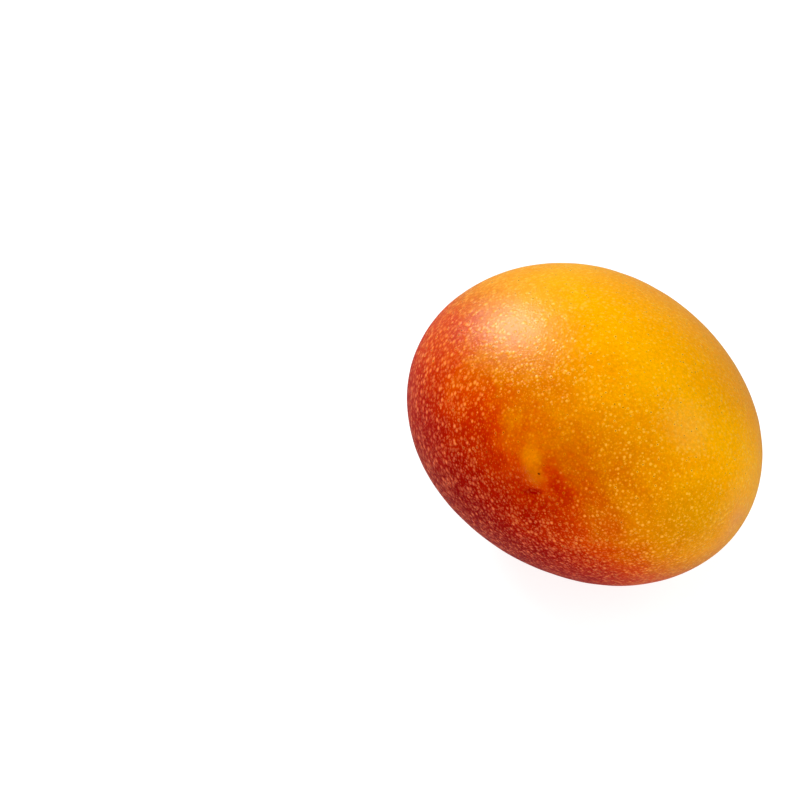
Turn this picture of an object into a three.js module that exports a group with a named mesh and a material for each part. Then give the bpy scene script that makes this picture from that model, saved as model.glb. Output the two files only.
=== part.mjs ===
// A ripe mango lying on its side, with the woody stub of its stem.
//
// The fruit is described in its own frame first: X runs from the stem end (-) to
// the tip (+), Y from the beak side (-) to the back (+), and Z from cheek to cheek.
// It is then rolled to the way it lies, pressed flat where it rests, and moved so
// that the origin is under the middle of its outline, on the surface it rests on.

import * as THREE from "three";
import { mergeVertices } from "three/addons/utils/BufferGeometryUtils.js";

// The fruit's body, in millimetres
const LENGTH = 118; // stem end to tip
const WIDTH = 95; // back to beak side
const THICKNESS = 87; // cheek to cheek
const TAPER = -0.05; // share of the girth gained at the stem end and lost at the tip
const BLUNTNESS = 0.037; // share of the girth added at both ends
const LEAN = -4; // how far the tip leans towards the beak side, and the stem to the back
const BOW = 1; // how far the middle bows towards the back

// The way it lies
const ROLL = THREE.MathUtils.degToRad(-19); // turns the beak up from the horizontal
const REST_DEPTH = 1.0; // how far its weight has pressed the resting spot flat

// The beak: a small nose on the front, with a hollow beyond it and a crease under it
const BEAK_ALONG = 0.45; // share of the half length from the middle to the tip
const BEAK = {
  height: 1.35,
  towardsStem: 7.5,
  towardsTip: 4,
  upwards: 9,
  downwards: 4.5,
};
const HOLLOW = { depth: 0.75, beyond: 8.5, reach: 7, spread: 9 };
const CREASE = { depth: 0.6, below: 8, reach: 6, spread: 3 };

// The dish that the stem sits in, and the soft folds that run out from it
const SEAT_DEPTH = 3.2;
const SEAT_RADIUS = 6.8;
const DISH_RADIUS = 14;
const FOLDS = { height: 0.45, count: 5, turn: 0.6, radius: 13, spread: 5 };

// Slow swellings, which keep the fruit from being a perfect egg
const SWELLINGS = [
  { height: 0.3, wave: [2.6, 1.9, 1.4], shift: 0.5 },
  { height: 0.22, wave: [-1.7, 3.1, 2.3], shift: 2.1 },
  { height: 0.16, wave: [3.9, -1.2, 3.4], shift: 4.0 },
];

// The stem: a corky collar on the fruit, with a short broken stub standing on it
const COLLAR_RADIUS = 6.0;
const COLLAR_HEIGHT = 1.1;
const STUB_RADIUS = 3.3;
const STUB_HEIGHT = 3.6;
const STEM_SIDES = 40;
const STEM_WAVE = 0.05; // how far the stem's outline departs from a circle
const LOBES = { count: 5, depth: 0.06 }; // soft corners round the collar
const GAP = 0.3; // between the collar and the fruit that it sits on

const SKIN_CELLS = 24; // squares along each edge of the net that is drawn over the fruit

const bell = (distance, spread) => Math.exp(-((distance / spread) ** 2));

// The beak, its hollow and its crease, as a height over the smooth body.
function beakRelief(direction) {
  if (direction.y > 0) return 0;
  const along = ((direction.x - BEAK_ALONG) * LENGTH) / 2;
  const up = (direction.z * THICKNESS) / 2;
  const nose =
    BEAK.height *
    bell(along, along > 0 ? BEAK.towardsTip : BEAK.towardsStem) *
    bell(up, up > 0 ? BEAK.upwards : BEAK.downwards);
  const hollow = HOLLOW.depth * bell(along - HOLLOW.beyond, HOLLOW.reach) * bell(up, HOLLOW.spread);
  const crease = CREASE.depth * bell(along, CREASE.reach) * bell(up + CREASE.below, CREASE.spread);
  return nose - hollow - crease;
}

// The slow swellings, as a height over the smooth body.
function swelling(direction) {
  return SWELLINGS.reduce((sum, { height, wave, shift }) => {
    const phase = direction.x * wave[0] + direction.y * wave[1] + direction.z * wave[2];
    return sum + height * Math.sin(phase + shift);
  }, 0);
}

// Sinks the stem end into its dish, with a flat seat in the middle and folds round it.
function sinkStemEnd(point) {
  if (point.x > 0) return;
  const across = point.y + LEAN;
  const fromAxis = Math.hypot(across, point.z);
  const turn = Math.atan2(point.z, across);
  const fold =
    FOLDS.height * Math.cos(FOLDS.count * turn + FOLDS.turn) * bell(fromAxis - FOLDS.radius, FOLDS.spread);
  const open = THREE.MathUtils.smoothstep(fromAxis, SEAT_RADIUS, DISH_RADIUS);
  const seat = -LENGTH / 2 + SEAT_DEPTH;
  point.x = THREE.MathUtils.lerp(seat, point.x - fold, open);
}

// The point of the skin that lies in a given direction from the fruit's middle.
function skinPoint(direction) {
  const along = direction.x;
  const girth = 1 + TAPER * along + BLUNTNESS * along * along;
  const point = new THREE.Vector3(
    (LENGTH / 2) * along,
    (WIDTH / 2) * direction.y * girth + LEAN * along + BOW * (1 - along * along),
    (THICKNESS / 2) * direction.z * girth,
  );
  point.addScaledVector(direction, swelling(direction) + beakRelief(direction));
  sinkStemEnd(point);
  return point;
}

// A net of even squares all round: a box's net, with each corner sent out to a sphere.
function netOfDirections() {
  const net = new THREE.BoxGeometry(1, 1, 1, SKIN_CELLS, SKIN_CELLS, SKIN_CELLS);
  net.deleteAttribute("normal");
  net.deleteAttribute("uv");
  const even = (share) => Math.tan((share * Math.PI) / 2);
  const positions = net.attributes.position;
  for (let i = 0; i < positions.count; i++) {
    const direction = new THREE.Vector3(
      even(positions.getX(i)),
      even(positions.getY(i)),
      even(positions.getZ(i)),
    ).normalize();
    positions.setXYZ(i, ...direction);
  }
  return mergeVertices(net);
}

// The whole fruit, rolled to the way it lies and pressed flat underneath.
function fruitGeometry() {
  const skin = netOfDirections();
  const positions = skin.attributes.position;
  for (let i = 0; i < positions.count; i++) {
    const direction = new THREE.Vector3().fromBufferAttribute(positions, i);
    positions.setXYZ(i, ...skinPoint(direction));
  }
  skin.rotateX(ROLL);
  skin.computeBoundingBox();
  const surface = skin.boundingBox.min.z + REST_DEPTH;
  for (let i = 0; i < positions.count; i++) {
    positions.setZ(i, Math.max(positions.getZ(i), surface));
  }
  skin.computeVertexNormals();
  return skin;
}

// The stem's outline turned about its own axis, standing along +Y from the seat.
function stemGeometry() {
  const profile = [
    [0, 0],
    [COLLAR_RADIUS * 0.96, 0],
    [COLLAR_RADIUS, COLLAR_HEIGHT * 0.45],
    [COLLAR_RADIUS * 0.84, COLLAR_HEIGHT * 0.95],
    [STUB_RADIUS * 1.25, COLLAR_HEIGHT],
    [STUB_RADIUS * 1.04, COLLAR_HEIGHT * 1.4],
    [STUB_RADIUS, STUB_HEIGHT * 0.92],
    [STUB_RADIUS * 0.86, STUB_HEIGHT],
    [STUB_RADIUS * 0.5, STUB_HEIGHT * 0.93],
    [0, STUB_HEIGHT * 0.9],
  ].map(([radius, height]) => new THREE.Vector2(radius, height));
  const stem = new THREE.LatheGeometry(profile, STEM_SIDES);
  const positions = stem.attributes.position;
  for (let i = 0; i < positions.count; i++) {
    const fromAxis = Math.hypot(positions.getX(i), positions.getZ(i));
    const turn = Math.atan2(positions.getZ(i), positions.getX(i));
    const onCollar = THREE.MathUtils.smoothstep(fromAxis, STUB_RADIUS, COLLAR_RADIUS);
    const wave =
      1 + STEM_WAVE * Math.cos(2 * turn + 0.7) + onCollar * LOBES.depth * Math.cos(LOBES.count * turn);
    positions.setX(i, positions.getX(i) * wave);
    positions.setZ(i, positions.getZ(i) * wave);
  }
  stem.computeVertexNormals();
  return stem;
}

const skinMaterial = new THREE.MeshStandardMaterial({ color: 0xf09a12, roughness: 0.42, metalness: 0 });
const stemMaterial = new THREE.MeshStandardMaterial({ color: 0x8a6a42, roughness: 0.85, metalness: 0 });

const fruit = new THREE.Mesh(fruitGeometry(), skinMaterial);
fruit.name = "fruit";

const stem = new THREE.Mesh(stemGeometry(), stemMaterial);
stem.name = "stem";
stem.rotation.z = Math.PI / 2; // its own +Y now points out of the stem end, along -X
stem.position.set(-LENGTH / 2 + SEAT_DEPTH - GAP, -LEAN, 0);

const stemEnd = new THREE.Group();
stemEnd.rotation.x = ROLL;
stemEnd.add(stem);

const mango = new THREE.Group();
mango.add(fruit, stemEnd);

// Move the origin to the middle of the underside.
const outline = new THREE.Box3().setFromObject(mango, true);
const middle = outline.getCenter(new THREE.Vector3());
mango.position.set(-middle.x, -middle.y, -outline.min.z);

export default mango;
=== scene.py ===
# A ripe mango on a pale table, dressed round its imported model

import math

import bpy
from mathutils import Matrix, Vector


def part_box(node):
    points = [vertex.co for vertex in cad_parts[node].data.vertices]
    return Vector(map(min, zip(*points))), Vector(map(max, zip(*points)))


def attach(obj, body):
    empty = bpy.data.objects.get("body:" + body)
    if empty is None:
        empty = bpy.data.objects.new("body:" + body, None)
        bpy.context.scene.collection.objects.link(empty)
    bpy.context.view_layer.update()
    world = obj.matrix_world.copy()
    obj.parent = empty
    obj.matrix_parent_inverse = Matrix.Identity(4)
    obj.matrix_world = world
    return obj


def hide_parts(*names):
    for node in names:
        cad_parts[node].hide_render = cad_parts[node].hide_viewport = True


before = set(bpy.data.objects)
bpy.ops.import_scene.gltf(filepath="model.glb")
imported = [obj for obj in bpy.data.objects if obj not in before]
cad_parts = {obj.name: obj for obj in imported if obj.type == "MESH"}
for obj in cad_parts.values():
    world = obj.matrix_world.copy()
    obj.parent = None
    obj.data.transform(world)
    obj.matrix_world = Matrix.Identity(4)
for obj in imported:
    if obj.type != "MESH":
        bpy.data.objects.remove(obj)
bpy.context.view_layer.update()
mm = 0.001  # one millimetre, in metres
print("frame loaded:", ", ".join(sorted(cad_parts)))


# Camera, where the photograph was taken from

cameraSetup = {
    "azimuth": 51.8,  # degrees round, from looking along +Y towards looking along -X
    "elevation": 31.0,  # degrees above level
    "lens": 99.0,  # mm
    "sensor": 36.0,  # mm
    "photoWidth": 800,  # pixels
    "scale": 3331.4,  # pixels to a metre, at the origin
    "originPlace": (580.2, 545.5),  # the pixel that shows the origin, under the fruit's middle
}


def placeCamera(setup):
    azimuth = math.radians(setup["azimuth"])
    elevation = math.radians(setup["elevation"])
    right = Vector((math.cos(azimuth), math.sin(azimuth), 0))
    level = math.cos(elevation)
    look = Vector((-math.sin(azimuth) * level, math.cos(azimuth) * level, -math.sin(elevation)))
    up = right.cross(look)

    half = setup["photoWidth"] / 2
    focal = setup["photoWidth"] * setup["lens"] / setup["sensor"]
    distance = focal / setup["scale"]
    aside = (setup["originPlace"][0] - half) / setup["scale"]
    above = (half - setup["originPlace"][1]) / setup["scale"]
    place = -look * distance - right * aside - up * above

    turn = Matrix((right, up, -look)).transposed()
    bpy.ops.object.camera_add(location=place, rotation=turn.to_euler())
    camera = bpy.context.object
    camera.name = "photoCamera"
    camera.data.lens = setup["lens"]
    camera.data.sensor_width = setup["sensor"]
    bpy.context.scene.camera = camera


placeCamera(cameraSetup)
print("camera placed")


# Small helpers for materials

def colour(code):  # "#rrggbb" as the screen shows it, made linear
    parts = [int(code[i:i + 2], 16) / 255 for i in (1, 3, 5)]
    linear = [p / 12.92 if p <= 0.04045 else ((p + 0.055) / 1.055) ** 2.4 for p in parts]
    return (*linear, 1.0)


def newMaterial(name):
    material = bpy.data.materials.new(name)
    material.use_nodes = True
    material.node_tree.nodes.clear()
    return material


# An input that is given another node's output is linked to it, and any other is set
def addNode(material, kind, inputs=None, **settings):
    node = material.node_tree.nodes.new("ShaderNode" + kind)
    for name, value in settings.items():
        setattr(node, name, value)
    for socket, value in (inputs or {}).items():
        if isinstance(value, bpy.types.NodeSocket):
            material.node_tree.links.new(value, node.inputs[socket])
        else:
            node.inputs[socket].default_value = value
    return node


def maths(material, operation, *values):
    return addNode(material, "Math", dict(enumerate(values)), operation=operation).outputs[0]


def vectorMaths(material, operation, *values):
    node = addNode(material, "VectorMath", dict(enumerate(values)), operation=operation)
    return node.outputs["Value" if operation in ("LENGTH", "DOT_PRODUCT") else "Vector"]


def ease(material, value, start, end, low=0.0, high=1.0):  # low at start, high at end, smooth between
    inputs = {"Value": value, "From Min": start, "From Max": end, "To Min": low, "To Max": high}
    node = addNode(material, "MapRange", inputs, interpolation_type="SMOOTHSTEP")
    return node.outputs["Result"]


def noise(material, space, size, detail=3.0, roughness=0.5, swing=1.0):  # size in mm; from -swing to swing
    inputs = {"Vector": space, "Scale": 1 / size, "Detail": detail, "Roughness": roughness}
    raw = addNode(material, "TexNoise", inputs).outputs["Fac"]
    return maths(material, "MULTIPLY", maths(material, "SUBTRACT", raw, 0.5), 2 * swing)


def mix(material, factor, first, second, blend="MIX"):
    node = addNode(material, "Mix", {0: factor, 6: first, 7: second}, data_type="RGBA", blend_type=blend)
    return node.outputs[2]


def tint(material, base, where, strength, code):  # lays a flat colour over a part of another
    return mix(material, maths(material, "MULTIPLY", where, strength), base, colour(code))


def ramp(material, value, stops, start=-1.0, end=1.0):  # stops are (value, colour code)
    share = maths(material, "DIVIDE", maths(material, "SUBTRACT", value, start), end - start)
    node = addNode(material, "ValToRGB", {"Fac": share})
    elements = node.color_ramp.elements
    while len(elements) < len(stops):
        elements.new(0.5)
    for element, (place, code) in zip(elements, stops):
        element.position = (place - start) / (end - start)
        element.color = colour(code)
    return node.outputs["Color"]


# How far into an oval patch a point lies: 1 in its core, 0 outside its reach
def patch(material, space, middle, reach, turn, core, axis=1):
    angles = [0.0, 0.0, 0.0]
    angles[axis] = math.radians(turn)
    inputs = {"Vector": space, "Location": middle, "Rotation": angles, "Scale": reach}
    local = addNode(material, "Mapping", inputs, vector_type="TEXTURE").outputs["Vector"]
    return ease(material, vectorMaths(material, "LENGTH", local), 1.0, core)


# Small helpers for modelling

def takeAlone(thing):
    bpy.ops.object.select_all(action="DESELECT")
    thing.select_set(True)
    bpy.context.view_layer.objects.active = thing


def editMode(on):
    bpy.ops.object.mode_set(mode="EDIT" if on else "OBJECT")


def applyModifier(thing, kind, **settings):
    modifier = thing.modifiers.new(kind.lower(), kind)
    for name, value in settings.items():
        setattr(modifier, name, value)
    takeAlone(thing)
    bpy.ops.object.modifier_apply(modifier=modifier.name)


# Selects the vertices whose place passes the test, and nothing else; leaves edit mode on
def selectVertices(thing, test):
    editMode(True)
    bpy.ops.mesh.select_mode(type="VERT")
    bpy.ops.mesh.select_all(action="DESELECT")
    editMode(False)
    for vertex in thing.data.vertices:
        vertex.select = test(vertex.co)
    editMode(True)


# The fruit's skin

fruit = {
    "roll": -19.0,  # degrees that the fruit is turned about its length as it lies
    "halfSize": (58.2, 47.5, 43.5),  # mm: along it, back to beak, cheek to cheek
    "weld": 0.001,  # mm within which the model's points are merged
    "quadAngle": 70.0,  # degrees, the sharpest that two triangles may meet and still become a quad
    "smoothing": 1,  # subdivisions, once before the beak and folds are shaped and once after
    "dents": 0.35,  # mm, how uneven the skin is
    "dentSize": 17.0,  # mm
    "nudges": [  # the beak's nose, hollow and crease: (place on the fruit, move, reach), in mm
        ((25.0, -44.8, -0.2), (0.3, -1.4, -0.2), 6.5),
        ((31.5, -41.5, -0.6), (-0.3, 1.0, 0), 7.5),
        ((24.5, -42.7, -8.0), (0, 0.5, 0.1), 4.5),
    ],
    "folds": [  # round the stem: (degrees round from the back, start and end from the stem, height, reach)
        (80, 9.0, 25.0, 0.65, 6.0),
        (158, 9.0, 21.0, 0.4, 5.0),
        (243, 9.0, 25.0, 0.5, 4.5),
        (266, 9.0, 21.0, -0.4, 4.0),
        (288, 9.0, 21.0, 0.5, 4.5),
        (20, 9.0, 17.0, 0.35, 5.0),
    ],
    "foldStep": 4.0,  # mm between the pulls that make a fold
    "stemFall": 110.0,  # mm: the skin falls away from the stem by the distance squared over this
    "restingHeight": 0.15,  # mm, below which the skin belongs to the flat spot that it rests on
}


def corners(name):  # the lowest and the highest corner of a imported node's box
    low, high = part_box(name)
    return Vector(low), Vector(high)


fruitLow, fruitHigh = corners("fruit")
fruitMiddle = (fruitLow + fruitHigh) / 2
fruitTurn = Matrix.Rotation(math.radians(fruit["roll"]), 3, "X")

stemLow, stemHigh = corners("stem")
stemFoot = Vector((stemHigh.x, (stemLow.y + stemHigh.y) / 2, (stemLow.z + stemHigh.z) / 2))
stemSpot = fruitTurn.inverted() @ (stemFoot - fruitMiddle) / mm  # in the fruit's own frame


def onFruit(place):  # from the fruit's own frame, in mm, to the row's frame
    return fruitMiddle + fruitTurn @ (Vector(place) * mm)


def awayFromStem(degrees):  # in the fruit's own frame, by degrees round from its back
    return Vector((0, math.cos(math.radians(degrees)), math.sin(math.radians(degrees))))


# Pulls or pushes a soft round spot of the surface, as with proportional editing by hand
def nudge(thing, place, move, reach):
    spot = onFruit(place)
    nearest = min(thing.data.vertices, key=lambda vertex: (vertex.co - spot).length).co.copy()
    selectVertices(thing, lambda co: (co - nearest).length < fruit["weld"] * mm)
    bpy.ops.transform.translate(
        value=fruitTurn @ (Vector(move) * mm),
        use_proportional_edit=True,
        proportional_edit_falloff="SMOOTH",
        proportional_size=reach * mm,
    )
    editMode(False)


def smoothSkin(skin):
    applyModifier(skin, "SUBSURF", levels=fruit["smoothing"], render_levels=fruit["smoothing"])


def raiseFolds(skin):
    for degrees, start, end, height, reach in fruit["folds"]:
        distance = start
        while distance <= end:
            drop = Vector((distance ** 2 / fruit["stemFall"], 0, 0))
            place = stemSpot + drop + awayFromStem(degrees) * distance
            nudge(skin, place, (-height, 0, 0), reach)
            distance += fruit["foldStep"]


def makeSkin():
    takeAlone(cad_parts["fruit"])
    bpy.ops.object.duplicate()
    skin = bpy.context.object
    skin.name = "mangoSkin"
    skin.parent = None
    skin.data.materials.clear()

    editMode(True)
    bpy.ops.mesh.select_all(action="SELECT")
    bpy.ops.mesh.remove_doubles(threshold=fruit["weld"] * mm)
    wide = math.radians(fruit["quadAngle"])
    bpy.ops.mesh.tris_convert_to_quads(face_threshold=wide, shape_threshold=wide)
    editMode(False)

    smoothSkin(skin)
    for place, move, reach in fruit["nudges"]:
        nudge(skin, place, move, reach)
    raiseFolds(skin)
    smoothSkin(skin)

    dents = bpy.data.textures.new("softDents", "CLOUDS")
    dents.noise_scale = fruit["dentSize"] * mm
    applyModifier(skin, "DISPLACE", texture=dents, strength=fruit["dents"] * mm, texture_coords="LOCAL")

    # the resting spot stays flat on the table
    selectVertices(skin, lambda co: co.z < fruit["restingHeight"] * mm)
    bpy.ops.transform.resize(value=(1, 1, 0), center_override=(0, 0, 0))
    editMode(False)
    takeAlone(skin)
    bpy.ops.object.shade_smooth()
    return skin


# A range is (start, end), or (start, end, value at its start, value at its end)
skinLook = {
    # how the ground colour deepens, from the shaded side to the sunburnt one
    "blushSide": (-0.31, -0.58, -0.75),  # the way the sunburnt side faces, on the fruit
    "field": [
        (-0.9, "#F09C04"),
        (-0.5, "#F6AA03"),
        (-0.2, "#EE9A02"),
        (0.0, "#E48A03"),
        (0.2, "#D67103"),
        (0.32, "#CE5604"),
        (0.42, "#CB4003"),
        (0.55, "#BC2A04"),
        (0.7, "#A81706"),
        (0.95, "#8E0A0B"),
    ],
    "drift": {"size": 30.0, "detail": 2.0, "swing": 0.2},
    "blotches": {"size": 6.0, "detail": 4.0, "roughness": 0.6, "swing": 0.2},
    "mottle": {"size": 0.9, "detail": 3.0, "roughness": 0.6},
    "mottleTone": (-0.5, 0.5, 0.9, 1.08),
    "underside": (-12.0, -34.0),  # mm below the middle, where the colour darkens again and is darkest: deeper blush and painted shade
    "undersideBlushAndShade": 0.16,
    # soft patches: (middle and reach in mm, degrees turned, share of the reach that is its core)
    "patches": {
        "nose": ((23.8, -45.1, -0.4), (11.5, 12, 6.4), 62, 0.0),  # the beak's smooth bare nose, paler: partly its own bare skin, partly painted highlight on its lit face
        "ridge": ((12.0, -46.0, 8.0), (18, 14, 9), 40, 0.0),  # the paler ridge that runs back from it
        "side": ((28.8, -43.2, -0.2), (7.5, 10, 2.8), 62, 0.2),  # painted shade on the nose's far side, partly a deeper colour there too
        "notch": ((28.2, -42.6, -4.4), (3.4, 8, 2.2), -25, 0.1),  # painted shade, darker where that side runs in under the nose
        # painted shade in the crease under the beak, where the skin is also pushed in
        "crease": ((24.3, -42.7, -8.0), (4.5, 8, 1.3), -25, 0.3),
        "shadow": ((26.5, -41.0, -12.0), (18, 14, 12), 0, 0.1),  # painted shadow: deeper red under the beak
        "shoulder": ((-26.0, -33.0, 22.0), (30, 22, 20), 0, 0.1),  # blushed again, above the sunburnt side
        "quiet": ((22.0, -44.0, 2.0), (28, 20, 24), 0, 0.3),  # round the beak, where the dots are fainter
        "pin": ((26.6, -44.7, -1.5), (0.36, 3, 0.36), 0, 0.5),  # the dark pinhole on the nose
        "olive": ((55.5, -14.0, -2.0), (16, 20, 16), 0, 0.1),  # a green tinge towards the tip
        "tipReflection": ((55.5, 6.0, -5.0), (14, 16, 20), 0, 0.0),  # painted reflection of the pale table: a salmon tinge under the tip
    },
    "patchBlushShadeAndLight": {  # how much deeper, or paler, the colour is there: blush, and painted shade and painted highlight round the beak
        # the nose is paler: partly its bare skin, partly painted highlight
        "nose": -0.15,
        "ridge": -0.12,
        # painted shade beyond the nose, partly deeper colour
        "side": 0.12,
        # painted shade in the notch under the nose
        "notch": 0.1,
        # painted shade in the crease
        "crease": 0.2,
        "shadow": 0.11,
        "shoulder": 0.15,
    },
    "oliveTinge": (0.4, "#C08600"),  # (strength, colour)
    # painted reflection of the table under the tip: (strength, colour), broken into clouds
    "tipReflectionTint": (0.24, "#D88C68"),
    "tipReflectionClouds": {"size": 7.0, "detail": 4.0, "swing": 0.5},
    # the stem end
    "stemEnd": (-36.0, -54.0),  # mm along the fruit, where the stem end's blush starts and is deepest
    "stemEndBlush": 0.4,
    "stemReach": (26.0, 8.0),  # mm from the stem, where the deeper crimson fades and is fullest
    "crimson": 0.25,
    "streaks": {"size": 0.8, "detail": 2.0, "roughness": 0.4, "swing": 0.5},
    "streakDrift": 0.03,  # how fast the crimson's streaks change along their length, for each mm
    "creases": [  # soft lines round the stem: (degrees round from the back, start, end, half width), in mm
        (86, 2.0, 25.0, 2.6),
        (246, 2.0, 26.0, 1.4),
        (269, 2.0, 29.0, 2.2),
    ],
    "creaseDepth": 12.0,  # mm, so that a line reaches the skin all along
    "creaseWaves": 7.0,  # mm between the bends in a line
    "creaseSwing": (3.0, 3.0, 3.0),  # mm, how far it wanders
    # painted reflection, a pink sheen along the creases: (strength, colour)
    "creaseSheen": (0.22, "#C8706A"),
    # the pale dots, over the same range as the ground colour
    "dots": [
        (-0.4, "#FFCC4A"),
        (0.1, "#FFB842"),
        (0.4, "#FC9440"),
        (0.8, "#EA6C44"),
    ],
    "dotSpacing": 1.3,  # mm, at the middle of the fruit
    "dotClosing": 0.0035,  # share that the dots close up by, for each mm towards the tip
    "dotRadius": (0.348, 0.638),  # the smallest and the largest, against the spacing
    "dotsAlong": (15.0, -30.0, 1.0, 1.28),  # larger towards the stem end
    "dotsBelow": (-8.0, -26.0, 1.0, 1.25),  # larger underneath
    "dotsNearStem": (0.0, 0.8, 1.0, 0.5),  # smaller round the stem
    "dotEdge": (1.0, 0.15),  # shares of its radius over which a dot fades in
    "dotStrength": (0.4, 1.0),
    "specks": 0.62,  # spacing of the finer, fainter dots between them, against theirs
    "speckEdge": (0.5, 0.05),
    "speckStrength": 0.42,
    "bareness": 0.75,  # how far the dots are lost on the nose and at the stem end
    "contrast": (-0.5, 0.1, 0.6, 0.95),  # stronger on the blushed side
    "quietness": 0.5,  # what is left of the contrast round the beak
    # dark pinholes in the middle of some of the dots
    "unpierced": 0.68,  # share of the dots that have none
    "pinholeEdge": (0.34, 0.14),
    "pinholeDepth": 0.8,
    "pinholeColour": "#5A2A08",
    # relief and shine
    "dotRelief": 0.45,
    "peel": {"size": 1.3, "detail": 2.0, "swing": 0.1},  # a surface as fine as orange peel
    "relief": 0.3,  # mm
    "roughness": (0.2, 0.7, 0.39, 0.5),  # duller on the sunburnt side
    "waxiness": 0.12,  # how much smoother the dots are than the skin between them
}


# Places on the fruit, in mm: X along it, Y from its beak to its back, Z from cheek to cheek
def skinSpace(m):
    inputs = {
        "Vector": addNode(m, "TexCoord").outputs["Object"],
        "Location": fruitMiddle,
        "Rotation": (math.radians(fruit["roll"]), 0, 0),
        "Scale": (mm, mm, mm),
    }
    return addNode(m, "Mapping", inputs, vector_type="TEXTURE").outputs["Vector"]


# The deeper crimson round the stem, in streaks that run out from it
def stemCrimson(m, own, stemEnd):
    look = skinLook
    fromStem = vectorMaths(m, "MULTIPLY", vectorMaths(m, "SUBTRACT", own, stemSpot), (0, 1, 1))
    reach = vectorMaths(m, "LENGTH", fromStem)
    nearStem = maths(m, "MULTIPLY", ease(m, reach, *look["stemReach"]), stemEnd)
    drift = addNode(m, "CombineXYZ", {"X": maths(m, "MULTIPLY", reach, look["streakDrift"])})
    spokes = vectorMaths(m, "ADD", vectorMaths(m, "NORMALIZE", fromStem), drift.outputs["Vector"])
    streaks = noise(m, spokes, **look["streaks"])
    return nearStem, maths(m, "MULTIPLY", nearStem, maths(m, "ADD", streaks, look["crimson"]))


# Soft lines that run out from the stem, each with a wander of its own
def stemCreases(m, own):
    look = skinLook
    wander = addNode(m, "TexNoise", {"Vector": own, "Scale": 1 / look["creaseWaves"]}).outputs["Color"]
    wander = vectorMaths(m, "SUBTRACT", wander, (0.5, 0.5, 0.5))
    wavy = vectorMaths(m, "MULTIPLY_ADD", wander, look["creaseSwing"], own)
    creases = 0.0
    for degrees, start, end, width in look["creases"]:
        middle = stemSpot + awayFromStem(degrees) * (start + end) / 2
        reach = (look["creaseDepth"], (end - start) / 2, width)
        line = patch(m, wavy, middle, reach, degrees, core=0.0, axis=0)
        creases = maths(m, "MAXIMUM", creases, line)
    return creases


# How sunburnt each place is, about -1 to 1, with painted shade beside and under the beak and underneath, and
# a partly painted highlight on the nose, added in
def sunburnAndShade(m, own, up, patches, stemEnd, crimson):
    look = skinLook
    facing = vectorMaths(m, "NORMALIZE", vectorMaths(m, "DIVIDE", own, fruit["halfSize"]))
    level = vectorMaths(m, "DOT_PRODUCT", facing, look["blushSide"])
    amounts = [
        noise(m, own, **look["drift"]),
        noise(m, own, **look["blotches"]),
        maths(m, "MULTIPLY", stemEnd, look["stemEndBlush"]),
        crimson,
    ]
    for name, deeper in look["patchBlushShadeAndLight"].items():
        amounts.append(maths(m, "MULTIPLY", patches[name], deeper))
    # darker underneath: partly deeper blush, partly painted shade
    underside = ease(m, up, *look["underside"])
    amounts.append(maths(m, "MULTIPLY", underside, look["undersideBlushAndShade"]))
    for amount in amounts:
        level = maths(m, "ADD", level, amount)
    return level


# Pale dots, closer together towards the tip, with finer specks between and pinholes in some
def skinDots(m, own, parts, nearStem, bare):
    look = skinLook
    closing = maths(m, "MULTIPLY_ADD", parts["X"], look["dotClosing"], 1.0)
    space = addNode(m, "VectorMath", {0: own, "Scale": closing}, operation="SCALE").outputs["Vector"]
    cells = addNode(m, "TexVoronoi", {"Vector": space, "Scale": 1 / look["dotSpacing"]}).outputs
    chance = addNode(m, "SeparateColor", {"Color": cells["Color"]}).outputs

    radius = ease(m, chance["Red"], 0.0, 1.0, *look["dotRadius"])
    for place, sizes in ((parts["X"], "dotsAlong"), (parts["Z"], "dotsBelow"), (nearStem, "dotsNearStem")):
        radius = maths(m, "MULTIPLY", radius, ease(m, place, *look[sizes]))
    inside = maths(m, "DIVIDE", cells["Distance"], radius)
    strength = ease(m, chance["Green"], 0.0, 1.0, *look["dotStrength"])
    dots = maths(m, "MULTIPLY", ease(m, inside, *look["dotEdge"]), strength)

    speckScale = 1 / (look["specks"] * look["dotSpacing"])
    specks = addNode(m, "TexVoronoi", {"Vector": space, "Scale": speckScale}).outputs["Distance"]
    specks = maths(m, "MULTIPLY", ease(m, specks, *look["speckEdge"]), look["speckStrength"])
    bareness = maths(m, "MULTIPLY", bare, look["bareness"])
    dots = maths(m, "MULTIPLY", maths(m, "MAXIMUM", dots, specks), maths(m, "SUBTRACT", 1.0, bareness))

    pierced = maths(m, "GREATER_THAN", chance["Blue"], look["unpierced"])
    pinholes = maths(m, "MULTIPLY", ease(m, inside, *look["pinholeEdge"]), pierced)
    return dots, maths(m, "MULTIPLY", pinholes, look["pinholeDepth"])


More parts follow.
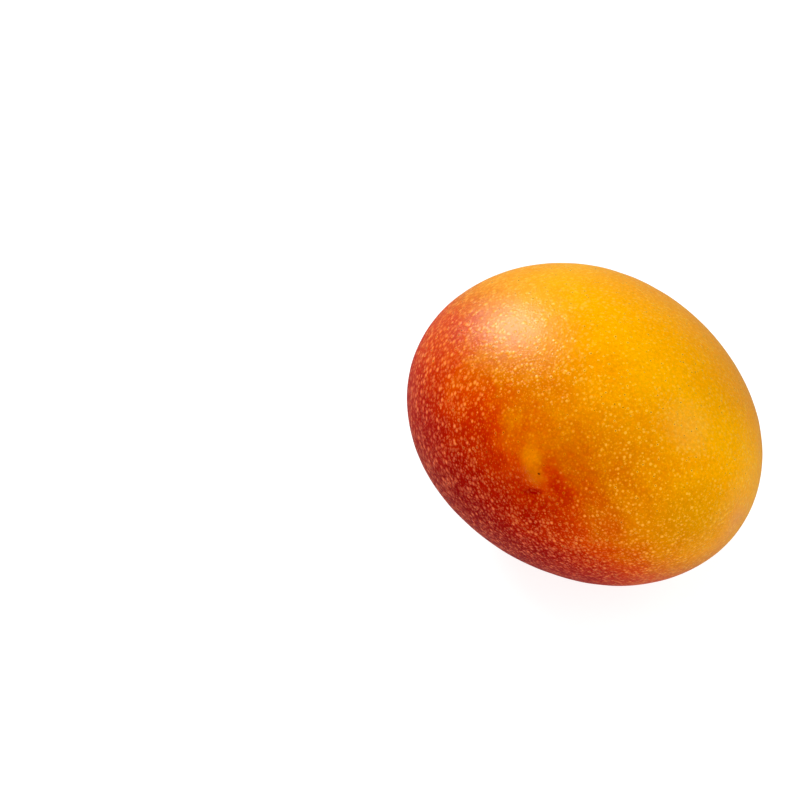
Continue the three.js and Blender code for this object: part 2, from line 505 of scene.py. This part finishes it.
def skinMaterial():
    look = skinLook
    m = newMaterial("mangoSkin")
    own = skinSpace(m)
    parts = addNode(m, "SeparateXYZ", {"Vector": own}).outputs
    patches = {name: patch(m, own, *shape) for name, shape in look["patches"].items()}
    stemEnd = ease(m, parts["X"], *look["stemEnd"])
    nearStem, crimson = stemCrimson(m, own, stemEnd)
    creases = stemCreases(m, own)
    level = sunburnAndShade(m, own, parts["Z"], patches, stemEnd, crimson)

    # the ground colour, with its tinges, a painted reflection under the tip, a painted pink sheen along the
    # stem's creases, and a fine mottling all over
    field = ramp(m, level, look["field"])
    field = tint(m, field, patches["olive"], *look["oliveTinge"])
    # painted reflection of the pale table under the tip
    strength, code = look["tipReflectionTint"]
    cloudy = maths(m, "ADD", noise(m, own, **look["tipReflectionClouds"]), strength)
    field = tint(m, field, patches["tipReflection"], cloudy, code)
    # painted reflection: a pink sheen laid along the stem's creases
    field = tint(m, field, creases, *look["creaseSheen"])
    mottle = ease(m, noise(m, own, **look["mottle"]), *look["mottleTone"])
    field = mix(m, 1.0, field, mottle, blend="MULTIPLY")

    # the dots, fainter round the beak
    bare = maths(m, "MAXIMUM", patches["nose"], stemEnd)
    dots, pinholes = skinDots(m, own, parts, nearStem, bare)
    quiet = ease(m, patches["quiet"], 0.0, 1.0, 1.0, look["quietness"])
    contrast = maths(m, "MULTIPLY", ease(m, level, *look["contrast"]), quiet)
    field = mix(m, maths(m, "MULTIPLY", dots, contrast), field, ramp(m, level, look["dots"]))
    pinholes = maths(m, "MAXIMUM", pinholes, patches["pin"])
    field = mix(m, pinholes, field, colour(look["pinholeColour"]))

    # the dots stand a hair proud and are waxier than the skin between them
    height = maths(m, "ADD", maths(m, "MULTIPLY", dots, look["dotRelief"]), noise(m, own, **look["peel"]))
    height = maths(m, "ADD", height, creases)
    relief = {"Strength": 0.8, "Distance": look["relief"] * mm, "Height": height}
    roughness = ease(m, level, *look["roughness"])
    roughness = maths(m, "SUBTRACT", roughness, maths(m, "MULTIPLY", dots, look["waxiness"]))
    shader = addNode(
        m,
        "BsdfPrincipled",
        {
            "Base Color": field,
            "Roughness": roughness,
            "Normal": addNode(m, "Bump", relief).outputs["Normal"],
            "IOR": 1.45,
            "Specular IOR Level": 0.33,
            "Subsurface Weight": 0.12,
            "Subsurface Radius": (1.0, 0.35, 0.08),
            "Subsurface Scale": 2.0 * mm,
            "Coat Weight": 0.04,
            "Coat Roughness": 0.25,
        },
    )
    addNode(m, "OutputMaterial", {"Surface": shader.outputs["BSDF"]})
    return m


mangoSkin = makeSkin()
mangoSkin.data.materials.append(skinMaterial())
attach(mangoSkin, "root")
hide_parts("fruit")
print("skin made:", len(mangoSkin.data.polygons), "faces")


# The stem: a corky collar with a short broken stub

stem = {
    "sides": 20,
    "sunk": 0.5,  # mm that the collar's underside sits in the skin
    "undersideRadius": 0.9,  # against the collar's own
    "collarSteps": [(0.5, 1.03), (0.45, 1.03), (0.45, 0.94)],  # from the underside: (mm up, widening)
    "stubRadius": 3.3,  # mm
    "collarHole": 1.3,  # where the collar's top ends, against the stub's radius
    "grooveDepth": 0.15,  # mm, of the groove between the collar and the stub
    "grooveWidths": (0.15, 0.1),  # of its two sides, against the stub's radius
    "stubSteps": [(0.35, 0.97), (0.4, 0.99), (0.2, 1.0), (0.05, 0.93)],  # (share of the stub, widening)
    "rim": 0.55,  # mm, the bark round the broken end
    "hollow": 0.7,  # mm that the broken end has dried in
    "wallShare": 0.7,  # share of that depth in the hollow's wall, and the rest is in its floor
    "wallTaper": 0.92,
    "floorRings": (0.3, 0.22),  # widths, against the stub's radius
    "lobes": 5,
    "lobeReach": 1.07,  # how far the collar's lobes stand out, against its radius
    "lobeStart": 0.8,  # share of the collar's radius beyond which its points belong to the lobes
    "lobeWidth": 0.6,  # the cosine at a lobe's sides; 1 is a lobe of no width
    "roughness": 0.16,  # mm that its points wander
    "endRoughness": 0.24,  # and once more on the broken end
    "endDepth": 1.2,  # mm below the stem's top that the broken end starts
    "endWidth": 0.75,  # its radius, against the stub's
    "seeds": (3, 8),
    "fineness": 3,
    "barkSize": 1.1,  # mm
    "barkDepth": 0.28,  # mm
}


def raiseFace(up, widening=1.0):
    bpy.ops.mesh.extrude_region_move(TRANSFORM_OT_translate={"value": (0, 0, up)})
    bpy.ops.transform.resize(value=(widening, widening, 1))


# Standing on its foot at the origin, from the collar's underside up into the broken end
def raiseStem(collarRadius, height):
    stubRadius = stem["stubRadius"] * mm
    radius = collarRadius * stem["undersideRadius"]
    reached = -stem["sunk"] * mm
    bpy.ops.object.select_all(action="DESELECT")
    bpy.ops.mesh.primitive_circle_add(
        vertices=stem["sides"], radius=radius, fill_type="NGON", location=(0, 0, reached)
    )
    piece = bpy.context.object
    bpy.ops.object.transform_apply()
    editMode(True)
    bpy.ops.mesh.select_all(action="SELECT")
    for up, widening in stem["collarSteps"]:
        raiseFace(up * mm, widening)
        radius *= widening
        reached += up * mm

    bpy.ops.mesh.inset(thickness=radius - stubRadius * stem["collarHole"])
    bpy.ops.mesh.inset(thickness=stubRadius * stem["grooveWidths"][0])
    bpy.ops.transform.translate(value=(0, 0, -stem["grooveDepth"] * mm))
    reached -= stem["grooveDepth"] * mm
    bpy.ops.mesh.inset(thickness=stubRadius * stem["grooveWidths"][1])
    for share, widening in stem["stubSteps"]:
        raiseFace((height - reached) * share, widening)

    bpy.ops.mesh.inset(thickness=stem["rim"] * mm)
    raiseFace(-stem["hollow"] * stem["wallShare"] * mm, stem["wallTaper"])
    bpy.ops.mesh.inset(thickness=stubRadius * stem["floorRings"][0])
    bpy.ops.transform.translate(value=(0, 0, -stem["hollow"] * (1 - stem["wallShare"]) * mm))
    bpy.ops.mesh.inset(thickness=stubRadius * stem["floorRings"][1])
    bpy.ops.mesh.poke()
    editMode(False)
    return piece


def makeStem():
    collarRadius = (stemHigh.y - stemLow.y) / 2
    height = stemHigh.x - stemLow.x
    piece = raiseStem(collarRadius, height)
    piece.name = "stemStub"

    def onLobe(co):
        turn = math.atan2(co.y, co.x) * stem["lobes"]
        outside = math.hypot(co.x, co.y) > collarRadius * stem["lobeStart"]
        return outside and math.cos(turn) > stem["lobeWidth"]

    def onBrokenEnd(co):
        inside = math.hypot(co.x, co.y) < stem["stubRadius"] * mm * stem["endWidth"]
        return inside and co.z > height - stem["endDepth"] * mm

    selectVertices(piece, onLobe)
    bpy.ops.transform.resize(value=(stem["lobeReach"], stem["lobeReach"], 1), center_override=(0, 0, 0))

    # the points wander, most of all on the broken end
    bpy.ops.mesh.select_all(action="SELECT")
    bpy.ops.transform.vertex_random(offset=stem["roughness"] * mm, seed=stem["seeds"][0])
    editMode(False)
    selectVertices(piece, onBrokenEnd)
    bpy.ops.transform.vertex_random(offset=stem["endRoughness"] * mm, seed=stem["seeds"][1])
    editMode(False)
    applyModifier(piece, "SUBSURF", levels=stem["fineness"], render_levels=stem["fineness"])

    bark = bpy.data.textures.new("bark", "CLOUDS")
    bark.noise_scale = stem["barkSize"] * mm
    applyModifier(piece, "DISPLACE", texture=bark, strength=stem["barkDepth"] * mm, texture_coords="LOCAL")

    # laid over, so that it points out of the fruit's stem end
    takeAlone(piece)
    piece.rotation_euler = (0, math.radians(-90), 0)
    piece.location = stemFoot
    bpy.ops.object.transform_apply()
    bpy.ops.object.shade_smooth()
    return piece


# Distances are in mm, from the stem's axis or over its foot
stemLook = {
    "blotches": {"size": 1.6, "detail": 4.0, "roughness": 0.6},
    "flecks": {"size": 0.5, "detail": 3.0, "roughness": 0.7},
    "collar": [(-0.5, "#7A5630"), (0.0, "#A88254"), (0.5, "#C29A66")],
    "fleckEdge": (0.12, 0.3),
    "fleckTinge": (0.75, "#3E2410"),  # (strength, colour)
    "skirt": (5.1, 6.1),  # where the collar runs out into the skin
    "skirtWaver": 0.8,
    "skirtTinge": (0.7, "#B4604A"),
    "grain": {"size": 1.2, "detail": 4.0},
    "grainStretch": (3.0, 0.7, 0.7),  # the stub's colours are drawn out along it
    "stub": [(-0.5, "#A45A10"), (0.0, "#C67E1E"), (0.5, "#DDA96A")],
    "stubEdge": (4.2, 3.7),
    "groove": ((4.5, 4.0), (1.5, 1.0)),  # dark in the groove: (from the axis, height over the foot)
    "grooveTinge": (0.75, "#4A2408"),
    "rimStart": (3.0, 3.4),  # the broken end's grey rim of bark
    "rimStrength": 0.8,
    "rim": [(-0.4, "#6E6048"), (0.4, "#A8A08A")],
    "inEnd": ((2.95, 2.6), (1.6, 2.2)),  # the dark dry fibres inside it
    "fibres": [(-0.4, "#0E0B08"), (0.0, "#2A2620"), (0.35, "#6A675A")],
    "fleckRelief": 0.8,
    "relief": 0.12,
}


def stemMaterial():
    look = stemLook
    m = newMaterial("stemBark")
    inputs = {
        "Vector": addNode(m, "TexCoord").outputs["Object"],
        "Location": stemFoot,
        "Scale": (-mm, mm, mm),
    }
    own = addNode(m, "Mapping", inputs, vector_type="TEXTURE").outputs["Vector"]  # X out of the fruit, in mm
    out = addNode(m, "SeparateXYZ", {"Vector": own}).outputs["X"]
    fromAxis = vectorMaths(m, "LENGTH", vectorMaths(m, "MULTIPLY", own, (0, 1, 1)))
    blotches = noise(m, own, **look["blotches"])
    flecks = noise(m, own, **look["flecks"])

    collar = ramp(m, blotches, look["collar"])
    collar = tint(m, collar, ease(m, flecks, *look["fleckEdge"]), *look["fleckTinge"])
    wavering = maths(m, "ADD", fromAxis, maths(m, "MULTIPLY", blotches, look["skirtWaver"]))
    collar = tint(m, collar, ease(m, wavering, *look["skirt"]), *look["skirtTinge"])

    drawn = addNode(m, "Mapping", {"Vector": own, "Scale": look["grainStretch"]}, vector_type="TEXTURE")
    stub = ramp(m, noise(m, drawn.outputs["Vector"], **look["grain"]), look["stub"])
    body = mix(m, ease(m, fromAxis, *look["stubEdge"]), collar, stub)

    def where(place):  # inside a distance from the axis, and above or below a height over the foot
        return maths(m, "MULTIPLY", ease(m, fromAxis, *place[0]), ease(m, out, *place[1]))

    body = tint(m, body, where(look["groove"]), *look["grooveTinge"])
    onRim = maths(m, "MULTIPLY", ease(m, out, *look["rimStart"]), look["rimStrength"])
    body = mix(m, onRim, body, ramp(m, blotches, look["rim"]))
    body = mix(m, where(look["inEnd"]), body, ramp(m, flecks, look["fibres"]))

    height = maths(m, "ADD", blotches, maths(m, "MULTIPLY", flecks, look["fleckRelief"]))
    relief = {"Strength": 0.8, "Distance": look["relief"] * mm, "Height": height}
    shader = addNode(
        m,
        "BsdfPrincipled",
        {
            "Base Color": body,
            "Roughness": 0.78,
            "Normal": addNode(m, "Bump", relief).outputs["Normal"],
            "Specular IOR Level": 0.35,
        },
    )
    addNode(m, "OutputMaterial", {"Surface": shader.outputs["BSDF"]})
    return m


stemStub = makeStem()
stemStub.data.materials.append(stemMaterial())
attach(stemStub, "root")
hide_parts("stem")
print("stem made:", len(stemStub.data.polygons), "faces")


# Pale table and soft studio light

studio = {
    "tableSize": 40.0,  # metres
    "tableColour": "#8C8B8A",
    "tableGlow": 0.88,  # the table is lit from inside, as a light box is
    "roomReach": 4.0,  # metres to the white wall behind the table
    "roomLight": 0.28,
    "blackLevel": 0.026,  # taken off the faint veil that the room's light lays over dark colours
    "lamps": [  # (name, where its light comes from, strength, degrees wide, colour, mirrored by the skin)
        ("keyLight", (-0.78, -0.07, 0.65), 2.5, 27, "#FFFCF8", True),
        ("fillLight", (0.65, 0.43, 0.63), 0.7, 40, "#FFFFFF", True),
        ("frontLight", (0.4, -0.6, 0.7), 1.25, 75, "#FFFFFF", False),
        ("backLight", (-0.1, 0.85, 0.5), 0.38, 75, "#FFFFFF", False),
    ],
}
white = (1, 1, 1, 1)


def makeTable():
    bpy.ops.object.select_all(action="DESELECT")
    bpy.ops.mesh.primitive_plane_add(size=studio["tableSize"])
    table = bpy.context.object
    table.name = "table"
    m = newMaterial("paleTable")
    shader = addNode(
        m,
        "BsdfPrincipled",
        {
            "Base Color": colour(studio["tableColour"]),
            "Roughness": 0.7,
            "Specular IOR Level": 0.3,
            "Emission Color": white,
            "Emission Strength": studio["tableGlow"],
        },
    )
    addNode(m, "OutputMaterial", {"Surface": shader.outputs["BSDF"]})
    table.data.materials.append(m)
    table.visible_glossy = False  # keeps the table's glow from veiling the fruit's edges


def makeBackdrop():  # a white room beyond the table, which the camera sees but which lights nothing
    bpy.ops.object.select_all(action="DESELECT")
    bpy.ops.mesh.primitive_uv_sphere_add(radius=studio["roomReach"])
    backdrop = bpy.context.object
    backdrop.name = "backdrop"
    m = newMaterial("whiteRoom")
    glow = addNode(m, "Emission", {"Color": white})
    addNode(m, "OutputMaterial", {"Surface": glow.outputs["Emission"]})
    backdrop.data.materials.append(m)
    backdrop.visible_diffuse = False
    backdrop.visible_glossy = False
    backdrop.visible_shadow = False


def addLamps():
    for name, direction, strength, width, code, mirrored in studio["lamps"]:
        turn = Vector(direction).to_track_quat("Z", "Y").to_euler()
        bpy.ops.object.light_add(type="SUN", rotation=turn)
        lamp = bpy.context.object
        lamp.name = name
        lamp.data.energy = strength
        lamp.data.angle = math.radians(width)
        lamp.data.color = colour(code)[:3]
        lamp.visible_glossy = mirrored


def lightRoom():
    scene = bpy.context.scene
    scene.world = bpy.data.worlds.new("room")
    scene.world.use_nodes = True
    background = scene.world.node_tree.nodes["Background"]
    background.inputs["Color"].default_value = white
    background.inputs["Strength"].default_value = studio["roomLight"]
    scene.view_settings.view_transform = "Standard"
    scene.view_settings.use_curve_mapping = True
    scene.view_settings.curve_mapping.black_level = [studio["blackLevel"]] * 3


makeTable()
makeBackdrop()
addLamps()
lightRoom()
print("table and lights set")
